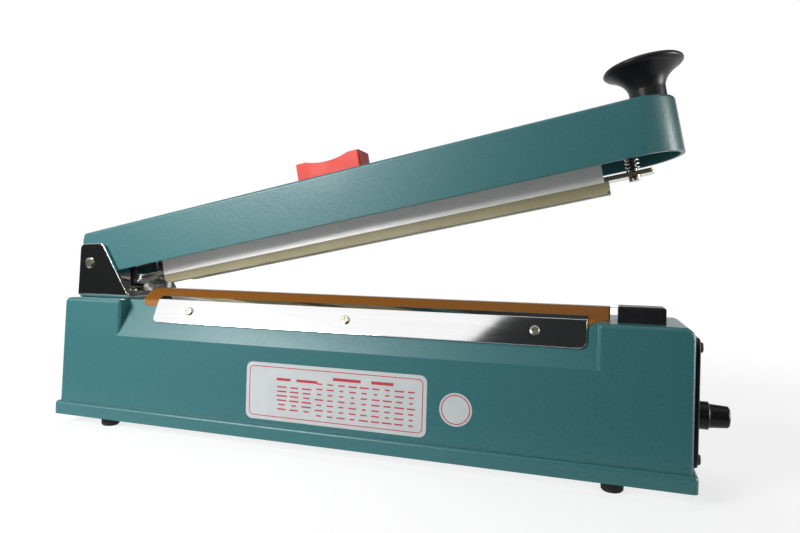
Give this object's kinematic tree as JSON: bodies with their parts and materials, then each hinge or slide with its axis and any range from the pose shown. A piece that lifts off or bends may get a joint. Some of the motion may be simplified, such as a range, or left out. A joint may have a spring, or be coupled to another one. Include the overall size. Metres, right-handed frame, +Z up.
{
  "type": "impulse bag sealer",
  "caption": "Hand-operated impulse bag sealer with a hinged pressing arm, sliding cutter and timer knob.",
  "frame": {"origin": "on the table, under the middle of the overall box", "axes": "+X along the sealing line from the hinge to the timer knob, -Y towards the operator, +Z up"},
  "size_m": [0.46, 0.085, 0.2522],
  "materials": {
    "hammered_teal": "hammered enamel, semi-gloss",
    "black_plastic": "moulded, satin",
    "red_plastic": "moulded, glossy",
    "amber_lens": "translucent",
    "rubber": "matt",
    "gland_rubber": "matt",
    "polished_steel": "mirror polished",
    "plated_steel": "zinc plated",
    "blackened_steel": "black oxide, oiled",
    "spring_steel": "drawn wire",
    "zinc_sheet": "zinc coated sheet",
    "satin_aluminium": "extruded, satin",
    "bar_aluminium": "extruded, bead blasted",
    "nickel": "nickel plated",
    "resistance_ribbon": "rolled",
    "glass_cloth": "woven, coated",
    "silicone": "satin",
    "insulator": "matt",
    "bronze": "turned",
    "holder_plastic": "moulded",
    "blade_steel": "ground",
    "core_steel": "laminated",
    "coil_wrap": "wrapped",
    "circuit_board": "printed board",
    "board_parts": "moulded",
    "white_nylon": "moulded"
  },
  "bodies": {
    "base": {"base_casting": "hammered_teal", "bottom_cover": "zinc_sheet", "rubber_feet": "rubber", "foot_screws": "plated_steel", "end_panel": "black_plastic", "panel_screws": "blackened_steel", "timer_switch_body": "black_plastic", "timer_nut": "plated_steel", "lamp_holder": "black_plastic", "lamp_lens": "amber_lens", "anvil_rail": "satin_aluminium", "rail_screws": "plated_steel", "insulating_tape": "glass_cloth", "heating_ribbon": "resistance_ribbon", "ptfe_cloth": "glass_cloth", "clamp_strip": "polished_steel", "clamp_screws": "plated_steel", "ribbon_terminals": "nickel", "terminal_insulators": "insulator", "terminal_cover": "black_plastic", "terminal_screw": "plated_steel", "hinge_bracket": "polished_steel", "bracket_screws": "plated_steel", "hinge_bolt": "plated_steel", "hinge_nut": "plated_steel", "lift_spring": "spring_steel", "spring_strap": "zinc_sheet", "snap_switch": "black_plastic", "switch_bracket": "zinc_sheet", "switch_screws": "plated_steel", "transformer_core": "core_steel", "transformer_coil": "coil_wrap", "transformer_strap": "zinc_sheet", "timer_board": "circuit_board", "board_standoffs": "white_nylon", "board_parts": "board_parts", "fixing_screws": "plated_steel", "mains_terminal": "black_plastic", "cord_gland": "gland_rubber"},
    "arm": {"arm_casting": "hammered_teal", "arm_bushes": "bronze", "rod_pin": "blackened_steel", "handle_knob": "black_plastic", "knob_stud": "plated_steel", "bar_guide_screws": "plated_steel", "bar_springs": "spring_steel"},
    "press_bar": {"press_bar": "bar_aluminium", "bar_tongues": "plated_steel", "tongue_screws": "plated_steel", "front_silicone": "silicone", "rear_silicone": "silicone"},
    "cutter": {"cutter_grip": "red_plastic", "blade_holder": "holder_plastic", "cutter_blade": "blade_steel", "blade_screw": "plated_steel"},
    "timer": {"timer_knob": "black_plastic", "timer_shaft": "plated_steel"},
    "lift_rod": {"lift_rod": "blackened_steel", "rod_collar": "plated_steel"},
    "switch_lever": {"switch_lever": "plated_steel"}
  },
  "joints": [
    {"name": "arm_lift", "type": "hinge", "parent": "base", "child": "arm", "pos_m": [-0.2125, 0, 0.1205], "axis": [0, 1, 0], "range_deg": [0, 11.37], "stiffness_Nm_per_rad": 4, "springref_deg": -42.97},
    {"name": "bar_float", "type": "slide", "parent": "arm", "child": "press_bar", "axis": [-0.1971, 0, 0.9804], "range_m": [0, 0.0066], "deforming": ["bar_springs"]},
    {"name": "cutter_slide", "type": "slide", "parent": "arm", "child": "cutter", "axis": [0.9804, 0, 0.1971], "range_m": [-0.12, 0.15]},
    {"name": "timer_turn", "type": "hinge", "parent": "base", "child": "timer", "pos_m": [0.2095, 0, 0.0409], "axis": [1, 0, 0], "range_deg": [-135, 135]},
    {"name": "rod_slide", "type": "slide", "parent": "base", "child": "lift_rod", "axis": [0, 0, -1], "range_m": [0, 0.0031], "deforming": ["lift_spring"]},
    {"name": "switch_press", "type": "hinge", "parent": "base", "child": "switch_lever", "pos_m": [-0.1755, 0, 0.0473], "axis": [0, -1, 0], "range_deg": [0, 7.9]}
  ],
  "couplings": [
    {"joint": "bar_float", "follows": "arm_lift", "m_per_rad": 0.03276},
    {"joint": "rod_slide", "follows": "arm_lift", "m_per_rad": 0.0149},
    {"joint": "switch_press", "follows": "arm_lift", "ratio": 0.677}
  ]
}
